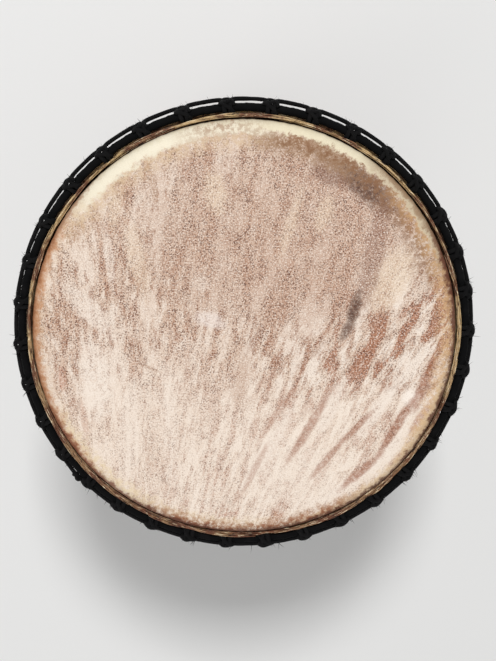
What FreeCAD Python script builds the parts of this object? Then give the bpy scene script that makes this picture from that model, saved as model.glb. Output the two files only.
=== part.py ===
"""Rope-tuned djembe, standing on its foot. +Z is the drum's axis, and the origin is the centre of the foot.

A carved goblet shell carries a goat skin. The skin folds round the flesh ring, and the crown ring sits above
the fold. One cradle rope is hitched to the crown ring and another to the bottom ring, so that each ring has a
row of loops, and one tension rope is laced between the two rows.
"""

import FreeCAD, Part

import math
import os

import Sketcher
from FreeCAD import Vector

# Driving dimensions, in millimetres, degrees or pieces. All else is worked out from them.
SIZES = {
    "total_height": 600.0,
    # shell, outside
    "shell_radius": 167.0,
    "shoulder_height": 560.0,
    "belly_arc": 375.0,
    "belly_radius": 152.0,
    "belly_height": 455.0,
    "bowl_arc": 156.5,
    "throat_radius": 80.0,
    "throat_height": 363.3,
    "throat_cove": 14.0,
    "neck_radius": 73.0,
    "neck_height": 349.0,
    "bead_top": 331.0,
    "bead_bottom": 315.0,
    "bead_arc": 8.4,
    "stem_arc": 850.0,
    "foot_radius": 118.0,
    "foot_band": 15.0,
    # shell, inside
    "edge_round": 9.0,
    "edge_crest": 4.0,
    "mouth_radius": 148.3,
    "mouth_height": 585.0,
    "inner_belly_arc": 356.3,
    "inner_belly_radius": 134.0,
    "inner_belly_height": 460.2,
    "inner_bowl_arc": 137.5,
    "inner_bowl_radius": 56.0,
    "inner_bowl_height": 373.0,
    "bore_radius": 52.0,
    "bore_height": 342.0,
    "inner_stem_arc": 900.0,
    "foot_bore": 101.0,
    # two carved lines round the stem
    "band_height": 62.0,
    "band_half_width": 17.0,
    "line_depth": 2.5,
    "line_opening": 1.5,
    # skin
    "skin_thickness": 1.0,
    "collar_gap": 0.6,
    "collar_rise": 17.0,
    "collar_flare": 2.6,
    "collar_lean": 0.3,
    "collar_trim": 0.4,
    # rings
    "rod_radius": 2.5,
    "binding_thickness": 0.6,
    "flesh_radius": 171.15,
    "flesh_height": 575.6,
    "crown_radius": 176.8,
    "crown_height": 585.0,
    "bottom_radius": 88.8,
    "bottom_height": 360.4,
    # ropes
    "loop_count": 34.0,
    "hitch_turn": 0.65,
    "hitch_drift": 2.0,
    "hitch_drift_from": 203.0,
    "hitch_second_drift": 1.05,
    "rope_radius": 1.75,
    "rope_clearance": 0.2,
    "hitch_outer_step": 2.7,
    "hitch_inner_step": 1.9,
    "loop_half_width": 4.4,
    "loop_leg_lean": 1.2,
    "span_corner": 2.6,
    "under_corner": 3.2,
    "leg_corner": 2.2,
    "crown_span_drop": 6.4,
    "crown_span_sway": 3.6,
    "bottom_span_drop": 8.0,
    "bottom_span_sway": 0.0,
    "crown_loop_radius": 173.2,
    "crown_loop_height": 553.0,
    "bottom_loop_angle": 47.0,
    "bottom_lean_angle": 52.0,
    "rope_standoff": 3.2,
    "knot_radius": 3.8,
    "crown_knot_out": 1.3,
}

# The lacing's stations down the bowl: the share of its turn round the drum that it has made there, and a
# height on the upper arc of the bowl, or an angle below the horizontal on its lower arc.
UPPER_STATIONS = [(0.12, 528.0), (0.32, 492.0)]
MEETING_SHARE = 0.52
LOWER_STATIONS = [(0.68, 26.0), (0.82, 35.0), (0.92, 42.0)]

# How far off the wood the lacing is at the last two stations: going down, it leaves the bowl along a tangent
# and passes outside the bottom loop, and coming up behind the loop it is close to the wood.
FRONT_ENDS = [3.6, 6.0]
BACK_ENDS = [2.6, 2.35]

# How far out the corner in front of a bottom loop is, as a share of the hook's size.
FRONT_REACH = 1.28

# Arcs at the ropes' corners, as shares of what they bend round or of the run beside them.
WRAP_ARC = 0.98
LOOP_ARC = 0.86
HOOK_ARC = 0.77
FREE_ARC = 0.44

# How far each end of a rope stops short of its knot's centre, as a share of the knot's radius.
KNOT_INSET = 0.7

# The crown cradle's knot is beside this hitch, this share of the way along the span before it.
CROWN_KNOT_HITCH = 21
CROWN_KNOT_SHARE = 0.24
MIDWAY = 0.5


def make_sheet(doc):
    """The spreadsheet that holds the driving dimensions, one alias to a row."""
    sheet = doc.addObject("Spreadsheet::Sheet", "Sizes")
    for row, (alias, value) in enumerate(SIZES.items(), start=1):
        sheet.set(f"A{row}", alias)
        sheet.set(f"B{row}", str(value))
        sheet.setAlias(f"B{row}", alias)
    doc.recompute()
    return sheet


# ---------------------------------------------------------------- sketches and turned pieces


def origin_feature(body, role):
    """One of a body's own origin planes or axes."""
    return next(f for f in body.Origin.OriginFeatures if f.Role == role)


def bulged_arc(start, end, radius, left):
    """The shorter arc from start to end, with its centre to the left or right of the way between them."""
    chord = end - start
    half = chord.Length / 2
    side = Vector(-chord.y, chord.x, 0).normalize() * (1 if left else -1)
    centre = (start + end) / 2 + side * math.sqrt(radius**2 - half**2)
    middle = centre + ((start + end) / 2 - centre).normalize() * radius
    return Part.Arc(start, middle, end)


def long_arc(start, end, centre):
    """The longer arc from start to end round a centre."""
    middle = centre - ((start + end) / 2 - centre).normalize() * (start - centre).Length
    return Part.Arc(start, middle, end)


def profile_sketch(body, name, outline):
    """A closed profile on the body's XZ plane, with every corner and radius bound to the sheet.

    Each entry of outline is (radius, height, edge): two expressions for the corner, and the edge that leaves
    it, which is None for a line or (kind, arc radius expression, centre expressions or None).
    """
    sketch = body.newObject("Sketcher::SketchObject", name)
    sketch.AttachmentSupport = [(origin_feature(body, "XZ_Plane"), "")]
    sketch.MapMode = "FlatFace"

    def value(expression):
        return float(sketch.evalExpression(expression))

    corners = [Vector(value(r), value(z), 0) for r, z, _ in outline]
    for i, (_, _, edge) in enumerate(outline):
        start, end = corners[i], corners[(i + 1) % len(corners)]
        if edge is None:
            sketch.addGeometry(Part.LineSegment(start, end))
        elif edge[0] == "long":
            centre = Vector(value(edge[2][0]), value(edge[2][1]), 0)
            sketch.addGeometry(long_arc(start, end, centre))
        else:
            sketch.addGeometry(bulged_arc(start, end, value(edge[1]), edge[0] == "left"))

    def end_of(i, corner):
        """Which end of edge i lies at a corner, as Sketcher counts them."""
        return 1 if sketch.getPoint(i, 1).isEqual(corner, 1e-6) else 2

    for i, (radius, height, edge) in enumerate(outline):
        before = i - 1 if i else len(outline) - 1
        here = (i, end_of(i, corners[i]))
        there = (before, end_of(before, corners[i]))
        sketch.addConstraint(Sketcher.Constraint("Coincident", *there, *here))
        for kind, expression, number in (
            ("DistanceX", radius, corners[i].x),
            ("DistanceY", height, corners[i].y),
        ):
            index = sketch.addConstraint(Sketcher.Constraint(kind, -1, 1, *here, number))
            sketch.setExpression(f"Constraints[{index}]", expression)
        if edge is not None:
            constraint = Sketcher.Constraint("Radius", i, value(edge[1]))
            index = sketch.addConstraint(constraint)
            sketch.setExpression(f"Constraints[{index}]", edge[1])
    return sketch


def turned_body(doc, name, outline):
    """A body turned about the Z axis from a closed profile."""
    body = doc.addObject("PartDesign::Body", name)
    sketch = profile_sketch(body, f"{name}_profile", outline)
    revolution = body.newObject("PartDesign::Revolution", f"{name}_turned")
    revolution.Profile = sketch
    revolution.ReferenceAxis = (sketch, ["V_Axis"])
    revolution.Angle = 360
    doc.recompute()
    return body


# ---------------------------------------------------------------- shell


def make_shell(doc, sheet):
    """The goblet: bowl, neck with a bead, and a flared stem, hollow from end to end."""
    s = "Sizes."
    wood_top = "Sizes.total_height - Sizes.skin_thickness"
    crest_outer = f"{s}shell_radius - {s}edge_round"
    outline = [
        (f"{s}foot_radius", "0", None),
        (f"{s}foot_radius", f"{s}foot_band", ("right", f"{s}stem_arc", None)),
        (f"{s}neck_radius", f"{s}bead_bottom", ("left", f"{s}bead_arc", None)),
        (f"{s}neck_radius", f"{s}bead_top", None),
        (f"{s}neck_radius", f"{s}neck_height", ("right", f"{s}throat_cove", None)),
        (f"{s}throat_radius", f"{s}throat_height", ("left", f"{s}bowl_arc", None)),
        (f"{s}belly_radius", f"{s}belly_height", ("left", f"{s}belly_arc", None)),
        (f"{s}shell_radius", f"{s}shoulder_height", None),
        (f"{s}shell_radius", f"{wood_top} - {s}edge_round", ("left", f"{s}edge_round", None)),
        (crest_outer, wood_top, None),
        (f"{crest_outer} - {s}edge_crest", wood_top, None),
        (f"{s}mouth_radius", f"{s}mouth_height", None),
        (f"{s}mouth_radius", f"{s}shoulder_height", ("right", f"{s}inner_belly_arc", None)),
        (f"{s}inner_belly_radius", f"{s}inner_belly_height", ("right", f"{s}inner_bowl_arc", None)),
        (f"{s}inner_bowl_radius", f"{s}inner_bowl_height", None),
        (f"{s}bore_radius", f"{s}bore_height", ("left", f"{s}inner_stem_arc", None)),
        (f"{s}foot_bore", "0", None),
    ]
    body = turned_body(doc, "shell", outline)
    before = body.Shape.Volume
    cut_lines(doc, body, sheet)
    if body.Shape.Volume > before - 1000:
        raise RuntimeError("the carved lines cut nothing")
    return body


def stem_surface(sheet, height):
    """Radius and slope of the stem's outside at a height: r and dr/dz."""
    low = Vector(sheet.foot_radius, sheet.foot_band, 0)
    high = Vector(sheet.neck_radius, sheet.bead_bottom, 0)
    chord = high - low
    side = Vector(chord.y, -chord.x, 0).normalize()
    reach = math.sqrt(sheet.stem_arc**2 - (chord.Length / 2) ** 2)
    centre = (low + high) / 2 + side * reach
    across = math.sqrt(sheet.stem_arc**2 - (height - centre.y) ** 2)
    return centre.x - across, (height - centre.y) / across


def cut_lines(doc, body, sheet):
    """Two turned V lines round the stem, a band's width apart."""
    sketch = body.newObject("Sketcher::SketchObject", "line_profile")
    sketch.AttachmentSupport = [(origin_feature(body, "XZ_Plane"), "")]
    sketch.MapMode = "FlatFace"
    for side in (-1, 1):
        height = sheet.band_height + side * sheet.band_half_width
        radius, slope = stem_surface(sheet, height)
        opening = Vector(slope, 1, 0).normalize() * (sheet.line_depth * sheet.line_opening)
        depth = Vector(1, -slope, 0).normalize() * sheet.line_depth
        at = Vector(radius, height, 0)
        mouth = at + depth / 2
        corners = [at - depth, mouth + opening, mouth - opening]
        first = sketch.GeometryCount
        for i in range(3):
            sketch.addGeometry(Part.LineSegment(corners[i], corners[(i + 1) % 3]))
        for i in range(3):
            ends = (first + i, 2, first + (i + 1) % 3, 1)
            sketch.addConstraint(Sketcher.Constraint("Coincident", *ends))
    groove = body.newObject("PartDesign::Groove", "stem_lines")
    groove.Profile = sketch
    groove.ReferenceAxis = (sketch, ["V_Axis"])
    groove.Angle = 360
    doc.recompute()


# ---------------------------------------------------------------- skin


def make_skin(doc):
    """The head: flat over the mouth, down the side, round the flesh ring and up again as a trimmed collar."""
    s = "Sizes."
    top = f"{s}total_height"
    under = f"{top} - {s}skin_thickness"
    shell = f"{s}shell_radius"
    outside = f"({shell} + {s}skin_thickness)"
    crest = f"{shell} - {s}edge_round"
    side_top = f"{under} - {s}edge_round"
    inner_fold = f"({s}flesh_radius - {outside})"
    outer_fold = f"({s}flesh_radius - {shell})"
    ring = (f"{s}flesh_radius", f"{s}flesh_height")
    collar_foot = f"{s}flesh_height + {inner_fold}"
    collar_in = f"({outside} + {s}collar_gap)"
    collar_out = f"({collar_in} + {s}skin_thickness)"
    bend = f"{s}flesh_height + {s}collar_rise - {s}collar_flare"
    lip = f"{s}flesh_height + {s}collar_rise"
    outline = [
        ("0", top, None),
        (crest, top, ("right", f"{s}edge_round + {s}skin_thickness", None)),
        (outside, side_top, None),
        (outside, f"{s}flesh_height", ("long", inner_fold, ring)),
        (ring[0], collar_foot, None),
        (collar_in, collar_foot, None),
        (f"{collar_in} + {s}collar_lean", bend, None),
        (f"{collar_in} + {s}collar_flare", lip, None),
        (f"{collar_out} + {s}collar_flare", f"{lip} - {s}collar_trim", None),
        (f"{collar_out} + {s}collar_lean", f"{bend} - {s}collar_trim", None),
        (collar_out, f"{collar_foot} + {s}skin_thickness", None),
        (ring[0], f"{collar_foot} + {s}skin_thickness", ("long", outer_fold, ring)),
        (shell, f"{s}flesh_height", None),
        (shell, side_top, ("left", f"{s}edge_round", None)),
        (crest, under, None),
        ("0", under, None),
    ]
    return turned_body(doc, "drum_skin", outline)


# ---------------------------------------------------------------- rings


def torus(doc, name, ring, tube):
    """A ring at the height of the sheet's own row for it, with a tube radius given as an expression."""
    made = doc.addObject("Part::Torus", name)
    made.setExpression("Radius1", f"Sizes.{ring}_radius")
    made.setExpression("Radius2", tube)
    made.setExpression("Placement.Base.z", f"Sizes.{ring}_height")
    return made


def make_ring(doc, ring):
    """A welded steel ring and the cloth strip bound round it."""
    rod = torus(doc, f"{ring}_ring", ring, "Sizes.rod_radius")
    outer = torus(doc, f"{ring}_outer", ring, "Sizes.rod_radius + Sizes.binding_thickness")
    core = torus(doc, f"{ring}_core", ring, "Sizes.rod_radius")
    binding = doc.addObject("Part::Cut", f"{ring}_ring_binding")
    binding.Base, binding.Tool = outer, core
    return [rod, binding]


# ---------------------------------------------------------------- ropes


def around(radius, angle, height):
    """A point at an angle, in radians, about the drum's axis."""
    return Vector(radius * math.cos(angle), radius * math.sin(angle), height)


def corner_arc(before, corner, after, radius):
    """The tangent arc that rounds a corner, and the points where it starts and ends."""
    into, out = (before - corner).normalize(), (after - corner).normalize()
    half = into.getAngle(out) / 2
    reach = radius / math.tan(half)
    start, end = corner + into * reach, corner + out * reach
    middle = corner + (into + out).normalize() * (radius / math.sin(half) - radius)
    return start, middle, end


def rounded_wire(route):
    """Straight runs joined by tangent arcs. route lists (point, arc radius or None for the largest)."""
    edges, at = [], route[0][0]
    for i in range(1, len(route) - 1):
        corner, radius = route[i]
        before, after = route[i - 1][0], route[i + 1][0]
        if radius is None:
            half_turn = (corner - before).getAngle(after - corner) / 2
            shorter = min((corner - before).Length, (after - corner).Length)
            radius = FREE_ARC * shorter / math.tan(half_turn)
        start, middle, end = corner_arc(before, corner, after, radius)
        run = (start - at).dot((corner - before).normalize())
        if run < -1e-4:
            raise RuntimeError(f"corner {i} of a rope needs {-run:.4f} mm more room before its arc")
        if run > 1e-4:
            edges.append(Part.LineSegment(at, start).toShape())
        edges.append(Part.Arc(start, middle, end).toShape())
        at = end
    edges.append(Part.LineSegment(at, route[-1][0]).toShape())
    return Part.Wire(edges)


def rope_solid(wire, radius):
    """A round rope along a wire. Its volume is compared with its section times its length."""
    first = wire.Edges[0]
    start = first.valueAt(first.FirstParameter)
    way = first.tangentAt(first.FirstParameter)
    section = Part.Wire([Part.makeCircle(radius, start, way)])
    solid = wire.makePipeShell([section], True, False)
    share = solid.Volume / (math.pi * radius**2 * wire.Length)
    print(f"rope {wire.Length:.0f} mm long, volume {share:.4f} of section times length")
    if not 0.99 < share < 1.01:
        raise RuntimeError("a rope's volume doesn't match its route")
    return solid


class RopeSizes:
    """What the ropes share, worked out from the sheet."""

    def __init__(self, sheet):
        self.count = int(sheet.loop_count)
        self.pitch = 2 * math.pi / self.count
        self.crown_angles = [self.hitch_angle(sheet, k) for k in range(self.count)]
        self.bottom_angles = [(k + 0.5) * self.pitch for k in range(self.count)]
        self.rope = sheet.rope_radius
        self.hook = 2 * sheet.rope_radius + sheet.rope_clearance
        binding = sheet.rod_radius + sheet.binding_thickness
        self.wrap = binding + sheet.rope_radius + sheet.rope_clearance / 2
        # centres of the two arcs of the bowl's outside, in radius and height
        bulge = math.asin((sheet.shoulder_height - sheet.belly_height) / sheet.belly_arc)
        self.belly_centre = (sheet.shell_radius - sheet.belly_arc, sheet.shoulder_height)
        self.bowl_centre = (
            sheet.belly_radius - sheet.bowl_arc * math.cos(bulge),
            sheet.belly_height + sheet.bowl_arc * math.sin(bulge),
        )
        self.bulge = bulge

    def hitch_angle(self, sheet, k):
        """The angle of a hitch on the crown ring. Hand-tied, they drift a little from even spacing."""
        even = k * self.pitch
        drift = sheet.hitch_drift * math.cos(even - math.radians(sheet.hitch_drift_from))
        drift += sheet.hitch_second_drift * math.cos(2 * even)
        return even + math.radians(sheet.hitch_turn + drift)

    def on_bowl(self, sheet, angle, standoff):
        """A point off the lower bowl: angle below the horizontal of its arc, and distance off the wood."""
        reach = sheet.bowl_arc + standoff
        r, z = self.bowl_centre
        return r + reach * math.cos(angle), z - reach * math.sin(angle)

    def on_belly(self, sheet, height, standoff):
        """A point off the upper bowl at a height on its arc."""
        angle = math.asin((self.belly_centre[1] - height) / sheet.belly_arc)
        reach = sheet.belly_arc + standoff
        r, z = self.belly_centre
        return r + reach * math.cos(angle), z - reach * math.sin(angle)


def ends_at_knot(route, sheet, share, outwards=0.0):
    """A closed route, cut open between its first and last points, and the knot's centre there.

    The knot is a share of the way from the first point to the last, and pushed outwards by a distance. The
    rope's two ends reach into it.
    """
    first, last = route[0][0], route[-1][0]
    centre = first + (last - first) * share
    centre += Vector(centre.x, centre.y, 0).normalize() * outwards
    inset = (last - first).normalize() * (sheet.knot_radius * KNOT_INSET)
    return [(centre - inset, None)] + route + [(centre + inset, None)], centre


def cradle_route(sheet, sizes, ring, angles, out, towards, span, loop, knot):
    """The route of a cradle rope, and the place of its knot, which is in the span before the first loop.

    For every loop, the rope comes along a span, takes a turn up and over the ring, hangs down in the loop,
    takes a second turn beside the first, and goes on along the next span. out and towards are unit (radius,
    height) directions: away from the wood, and from the ring towards the loops. span is how far that way the
    spans lie, and how much further at the +Y side and less at the -Y side. loop is where the loops turn back.
    knot is the knot's share of the way along its span, and how far it is pushed outwards.
    """
    ring_r, ring_z = ring
    outer, inner = sheet.hitch_outer_step, sheet.hitch_inner_step
    wrap, half_loop = sizes.wrap, sheet.loop_half_width
    loop_out = (loop[0] - ring_r) * out[0] + (loop[1] - ring_z) * out[1]
    loop_along = (loop[0] - ring_r) * towards[0] + (loop[1] - ring_z) * towards[1]
    span_drop, span_sway = span
    route = []
    for middle in angles:
        drop = span_drop + span_sway * math.sin(middle)
        half_hitch = [
            # across the hitch, out from the ring, towards the loop, arc
            (outer, wrap, drop, sheet.span_corner),
            (outer, wrap, -wrap, wrap * WRAP_ARC),
            (inner, -wrap, -wrap, wrap * WRAP_ARC),
            (inner, -wrap, wrap, sheet.under_corner),
            (inner, sheet.loop_leg_lean, wrap, sheet.leg_corner),
            (half_loop, loop_out, loop_along, half_loop * LOOP_ARC),
        ]
        for side, points in ((-1, half_hitch), (1, half_hitch[::-1])):
            for across, x, y, arc in points:
                r = ring_r + x * out[0] + y * towards[0]
                z = ring_z + x * out[1] + y * towards[1]
                route.append((around(r, middle + side * across / ring_r, z), arc))
    return ends_at_knot(route, sheet, *knot)


def make_knot(doc, name, centre, wire, sheet):
    """The knot that joins a rope's two ends: a ball with a socket for each end."""
    knot = Part.makeSphere(sheet.knot_radius, centre)
    first, last = wire.Edges[0], wire.Edges[-1]
    for at, way in (
        (first.valueAt(first.FirstParameter), first.tangentAt(first.FirstParameter)),
        (last.valueAt(last.LastParameter), -last.tangentAt(last.LastParameter)),
    ):
        knot = knot.cut(Part.makeCylinder(sheet.rope_radius, 3 * sheet.knot_radius, at, way))
    made = doc.addObject("Part::Feature", name)
    made.Shape = knot
    return made


def make_rope(doc, name, route, sheet):
    """A rope along a route of rounded corners, and its centre line."""
    wire = rounded_wire(route)
    made = doc.addObject("Part::Feature", name)
    made.Shape = rope_solid(wire, sheet.rope_radius)
    return made, wire


def bottom_loop(sheet, sizes):
    """Where the bottom ring's loops turn back, and the directions out of and up the wood there."""
    angle = math.radians(sheet.bottom_loop_angle)
    standoff = sizes.hook + sizes.rope + sheet.rope_clearance
    at = sizes.on_bowl(sheet, angle, standoff)
    return at, (math.cos(angle), -math.sin(angle)), (math.sin(angle), math.cos(angle))


def tension_route(sheet, sizes):
    """The lacing: over each crown loop from behind, down in front, through a bottom loop and up behind."""
    hook, corner = sizes.hook, sizes.hook * HOOK_ARC
    crown_r, crown_z = sheet.crown_loop_radius, sheet.crown_loop_height
    (low_r, low_z), out, up = bottom_loop(sheet, sizes)

    stations = [(share, sizes.on_belly, height) for share, height in UPPER_STATIONS]
    stations.append((MEETING_SHARE, sizes.on_bowl, sizes.bulge))
    stations += [(share, sizes.on_bowl, math.radians(degrees)) for share, degrees in LOWER_STATIONS]
    plain, lifted = sheet.rope_standoff, sheet.rope_standoff + sheet.knot_radius
    front_leg = [plain, plain, plain, plain] + FRONT_ENDS
    back_leg = [plain, plain, plain, plain] + BACK_ENDS
    knotted_leg = [plain, lifted, lifted, lifted] + BACK_ENDS
    front = (low_r + hook * (FRONT_REACH * out[0] - up[0]), low_z + hook * (FRONT_REACH * out[1] - up[1]))
    back = (low_r - hook * (out[0] + up[0]), low_z - hook * (out[1] + up[1]))

    def leg(top_angle, bottom_angle, standoffs):
        """The route down the bowl from the top, off the wood by a standoff at each station."""
        route = []
        for (share, place, at), standoff in zip(stations, standoffs):
            r, z = place(sheet, at, standoff)
            route.append((around(r, top_angle + (bottom_angle - top_angle) * share, z), None))
        return route

    tops = sizes.crown_angles + [sizes.crown_angles[0] + 2 * math.pi]
    route = []
    for k, bottom in enumerate(sizes.bottom_angles):
        top, after = tops[k], tops[k + 1]
        last = k == sizes.count - 1
        route.append((around(crown_r - hook, top, crown_z + hook), corner))
        route.append((around(crown_r + hook, top, crown_z + hook), corner))
        route.append((around(crown_r + hook, top, crown_z - hook), None))
        route += leg(top, bottom, front_leg)
        route.append((around(front[0], bottom, front[1]), corner))
        route.append((around(back[0], bottom, back[1]), corner))
        route += leg(after, bottom, knotted_leg if last else back_leg)[::-1]
    # the knot is between the second and third corners of the last leg, counted from its top
    return ends_at_knot(route[-2:] + route[:-2], sheet, MIDWAY)


def make_ropes(doc, sheet):
    """Both cradle ropes, the tension rope, and the knot that closes each."""
    sizes = RopeSizes(sheet)
    lean = math.radians(sheet.bottom_lean_angle)
    low_loop, _, _ = bottom_loop(sheet, sizes)
    upper, upper_knot = cradle_route(
        sheet,
        sizes,
        (sheet.crown_radius, sheet.crown_height),
        sizes.crown_angles[CROWN_KNOT_HITCH:] + sizes.crown_angles[:CROWN_KNOT_HITCH],
        (1.0, 0.0),
        (0.0, -1.0),
        (sheet.crown_span_drop, sheet.crown_span_sway),
        (sheet.crown_loop_radius, sheet.crown_loop_height),
        (CROWN_KNOT_SHARE, sheet.crown_knot_out),
    )
    lower, lower_knot = cradle_route(
        sheet,
        sizes,
        (sheet.bottom_radius, sheet.bottom_height),
        sizes.bottom_angles,
        (math.cos(lean), -math.sin(lean)),
        (math.sin(lean), math.cos(lean)),
        (sheet.bottom_span_drop, sheet.bottom_span_sway),
        low_loop,
        (MIDWAY, 0.0),
    )
    lacing, lacing_knot = tension_route(sheet, sizes)
    made = []
    for name, route, knot in (
        ("crown_cradle_rope", upper, upper_knot),
        ("bottom_cradle_rope", lower, lower_knot),
        ("tension_rope", lacing, lacing_knot),
    ):
        rope, wire = make_rope(doc, name, route, sheet)
        made += [rope, make_knot(doc, name.replace("_rope", "_knot"), knot, wire, sheet)]
    return made


# ---------------------------------------------------------------- build and write


def main():
    doc = FreeCAD.newDocument("djembe")
    sheet = make_sheet(doc)
    pieces = [make_shell(doc, sheet), make_skin(doc)]
    for ring in ("flesh", "crown", "bottom"):
        pieces += make_ring(doc, ring)
    pieces += make_ropes(doc, sheet)
    for piece in pieces:
        piece.Label = piece.Name
    doc.recompute()

    failed = [o.Name for o in doc.Objects if {"Invalid", "Error"} & set(o.State)]
    if failed:
        raise RuntimeError(f"these objects failed: {failed}")
    os.makedirs("parts", exist_ok=True)
    for piece in pieces:
        shape = piece.Shape
        if shape.isNull() or not shape.isValid() or shape.Volume <= 0:
            raise RuntimeError(f"{piece.Label} has no valid solid")
        shape.exportStep(f"parts/{piece.Label}.step")
        print(f"{piece.Label}: {len(shape.Solids)} solid, {shape.Volume / 1000:.1f} cm3")


main()
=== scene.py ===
"""A rope-tuned djembe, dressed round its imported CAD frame.

Everything is in metres. The drum stands on its foot, +Z is its axis and the origin is the centre of the foot.
The picture is taken from above the head, and +Y is up in it.
"""

import math

import bmesh
import bpy
import numpy as np
from mathutils import Matrix, Vector


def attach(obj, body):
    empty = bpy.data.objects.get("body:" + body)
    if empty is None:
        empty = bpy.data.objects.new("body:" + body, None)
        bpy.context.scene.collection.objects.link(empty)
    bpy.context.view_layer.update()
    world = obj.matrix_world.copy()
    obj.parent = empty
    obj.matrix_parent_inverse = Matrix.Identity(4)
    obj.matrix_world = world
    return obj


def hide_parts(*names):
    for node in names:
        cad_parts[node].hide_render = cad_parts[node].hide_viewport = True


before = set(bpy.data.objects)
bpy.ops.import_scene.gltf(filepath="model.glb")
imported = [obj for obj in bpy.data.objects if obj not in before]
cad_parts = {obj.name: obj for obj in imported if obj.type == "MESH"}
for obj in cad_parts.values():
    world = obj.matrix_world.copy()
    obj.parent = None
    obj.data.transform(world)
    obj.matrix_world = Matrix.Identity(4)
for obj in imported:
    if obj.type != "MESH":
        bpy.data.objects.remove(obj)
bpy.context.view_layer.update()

MM = 0.001
TURN = 2 * math.pi

# The drum's sizes in millimetres, as the CAD has them.
SHELL_RADIUS = 167.0
WOOD_TOP = 599.0
EDGE_ROUND, EDGE_CREST = 9.0, 4.0
SHOULDER_HEIGHT = 560.0
BELLY_ARC, BELLY_RADIUS, BELLY_HEIGHT = 375.0, 152.0, 455.0
BOWL_ARC, THROAT_RADIUS, THROAT_HEIGHT = 156.5, 80.0, 363.3
THROAT_COVE = 14.0
NECK_RADIUS, NECK_HEIGHT = 73.0, 349.0
BEAD_ARC, BEAD_BOTTOM, BEAD_TOP = 8.4, 315.0, 331.0
STEM_ARC, FOOT_RADIUS, FOOT_BAND = 850.0, 118.0, 15.0
MOUTH_RADIUS, MOUTH_HEIGHT = 148.3, 585.0
INNER_BELLY_ARC, INNER_BELLY_RADIUS, INNER_BELLY_HEIGHT = 356.3, 134.0, 460.2
INNER_BOWL_ARC, INNER_BOWL_RADIUS, INNER_BOWL_HEIGHT = 137.5, 56.0, 373.0
BORE_RADIUS, BORE_HEIGHT = 52.0, 342.0
INNER_STEM_ARC, FOOT_BORE = 900.0, 101.0
BAND_HEIGHT, BAND_HALF_WIDTH = 62.0, 17.0
LINE_DEPTH = 2.5
SKIN_THICKNESS = 1.0
FLESH_RADIUS, FLESH_HEIGHT = 171.15, 575.6
CROWN_RADIUS, CROWN_HEIGHT = 176.8, 585.0
BOTTOM_RADIUS, BOTTOM_HEIGHT = 88.8, 360.4
RING_TUBE = 3.1
LOOP_COUNT = 34
ROPE_RADIUS = 1.75
ROPE_CLEARANCE = 0.2
HOOK = 3.7
WRAP = 4.95
HITCH_OUTER, HITCH_INNER = 2.7, 1.9
LOOP_HALF_WIDTH = 4.4
CROWN_LOOP = (173.2, 553.0)
BOTTOM_LOOP_ANGLE = math.radians(47)
BOTTOM_LEAN_ANGLE = math.radians(52)
KNOT_RADIUS = 3.8

# How far each ring's spans of rope hang from it, and how much more or less that is round the drum.
CROWN_SPAN, BOTTOM_SPAN = (6.4, 3.6), (8.0, 0.0)

# The crown's hitches drift from even spacing: all by one turn, and round the drum by two waves, in degrees.
HITCH_TURN, HITCH_DRIFT, HITCH_SECOND_DRIFT = 0.65, 2.0, 1.05
HITCH_DRIFT_FROM = math.radians(203)

# Each cradle's knot: its share of the way between the route's ends, and how far out it is moved.
CROWN_KNOT, BOTTOM_KNOT = (0.13, 1.3), (0.5, 0.0)
CROWN_KNOT_HITCH = 21  # the hitch that the crown cradle's knot is beside

# How far off the wood the lacing's legs are, at each of their six stations down the bowl. At the last two,
# front legs come in over the bottom ring's loops and back legs pass behind them.
ROPE_STANDOFF = 3.2
KNOT_STANDOFF = ROPE_STANDOFF + KNOT_RADIUS
FRONT_ENDS, BACK_ENDS = (3.6, 6.0), (2.6, 2.35)
FRONT_REACH = 1.28  # how far out the lacing goes over a bottom loop, as a share of HOOK


# ---- mesh helpers


def link(made):
    """Puts a new object in the scene."""
    bpy.context.scene.collection.objects.link(made)


def add_piece(name, points, faces, material, uvs=None, carved=None):
    """A smooth, closed mesh piece, in millimetres, that rides on the drum.

    uvs has a pair for each face corner, and carved a share from 0 to 1 for each point, which the wood reads.
    """
    points = np.asarray(points, float).reshape(-1, 3)
    a, b, c = (points[faces[:, i]] for i in range(3))
    inside_out = (a * np.cross(b, c)).sum() < 0
    if inside_out:
        faces = faces[:, ::-1]
        uvs = None if uvs is None else uvs[:, ::-1]
    mesh = bpy.data.meshes.new(name)
    mesh.from_pydata((points * MM).tolist(), [], faces.tolist())
    if uvs is not None:
        layer = mesh.uv_layers.new(name="UVMap")
        layer.data.foreach_set("uv", np.ascontiguousarray(uvs, np.float32).ravel())
    if carved is not None:
        layer = mesh.attributes.new("carved", "FLOAT", "POINT")
        layer.data.foreach_set("value", np.ascontiguousarray(carved, np.float32).ravel())
    weld(mesh)
    mesh.shade_smooth()
    mesh.materials.append(material)
    piece = bpy.data.objects.new(name, mesh)
    link(piece)
    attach(piece, "root")
    return piece


def weld(mesh):
    """Merges points that fall together, such as where a turned piece meets its axis or a tube ends."""
    work = bmesh.new()
    work.from_mesh(mesh)
    bmesh.ops.remove_doubles(work, verts=work.verts, dist=1e-7)
    work.to_mesh(mesh)
    work.free()


def grid_faces(rows, columns, wrap_rows=False):
    """Quads over rows x columns points, with each row closed on itself, and their corners' uv from 0 to 1."""
    row, column = np.meshgrid(np.arange(rows if wrap_rows else rows - 1), np.arange(columns), indexing="ij")
    corners = [(row, column), (row, column + 1), (row + 1, column + 1), (row + 1, column)]
    faces = np.stack([(r % rows) * columns + c % columns for r, c in corners], -1).reshape(-1, 4)
    uvs = np.stack([np.stack([c / columns, r / rows], -1) for r, c in corners], -2)
    return faces, uvs.reshape(-1, 4, 2)


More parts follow.
